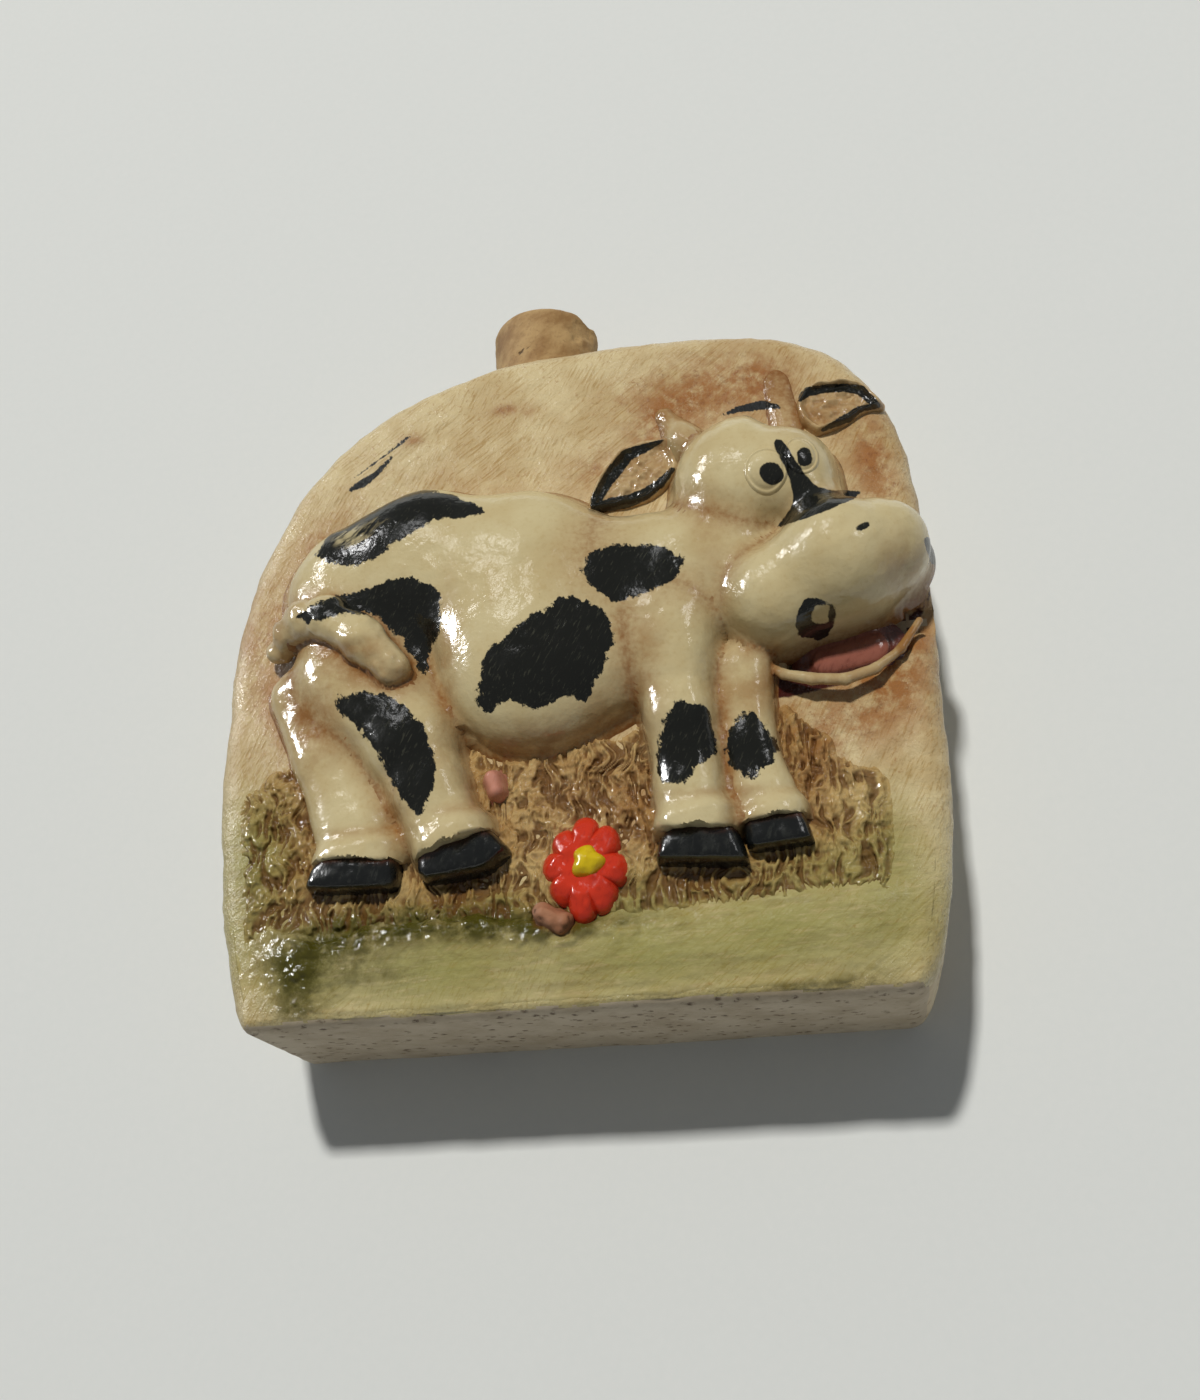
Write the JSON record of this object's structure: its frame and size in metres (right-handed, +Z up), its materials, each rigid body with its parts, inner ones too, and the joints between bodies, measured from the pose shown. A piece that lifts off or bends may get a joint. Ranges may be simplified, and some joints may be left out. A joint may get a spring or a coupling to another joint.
{
  "type": "ceramic souvenir flask",
  "caption": "Corked ceramic slab flask with a cow in high relief on its front; the cow's open mouth forms a slot under the muzzle.",
  "frame": {"origin": "middle of the flat base, halfway through the block's thickness", "axes": "+Z up, the relief faces -Y, +X to the right as seen from the front"},
  "size_m": [0.1018, 0.044, 0.1156],
  "materials": {
    "stoneware": "brush-textured cream ceramic with brown stain, varnished",
    "bare_clay": "dull speckled unglazed clay",
    "hide": "glossy varnished cream with black brushed patches",
    "hoof_black": "glossy varnished black",
    "ground_green": "varnished olive green wash",
    "tongue_pink": "glossy dark pink",
    "udder_pink": "glossy pink",
    "petal_red": "glossy red",
    "flower_yellow": "glossy yellow",
    "pebble_clay": "dull pinkish clay",
    "cork": "dull natural cork"
  },
  "bodies": {
    "flask": {"front_slab": "stoneware", "back_slab": "stoneware", "side_band_left": "stoneware", "side_band_right": "stoneware", "base_slab": "bare_clay", "neck_collar": "stoneware", "ground_bank": "ground_green", "torso": "hide", "neck": "hide", "head": "hide", "muzzle": "hide", "lower_lip": "hide", "tongue": "tongue_pink", "near_ear": "hide", "far_ear": "hide", "near_horn": "hide", "far_horn": "hide", "near_eye": "hide", "far_eye": "hide", "near_foreleg": "hide", "far_foreleg": "hide", "near_hind_leg": "hide", "far_hind_leg": "hide", "near_fore_hoof": "hoof_black", "far_fore_hoof": "hoof_black", "near_hind_hoof": "hoof_black", "far_hind_hoof": "hoof_black", "udder": "udder_pink", "tail": "hide", "flower_petals": "petal_red", "flower_centre": "flower_yellow", "pebble": "pebble_clay"},
    "cork": {"cork": "cork"}
  },
  "joints": [
    {"name": "cork_pull", "type": "slide", "parent": "flask", "child": "cork", "axis": [0, 0, 1], "range_m": [0, 0.03]}
  ]
}
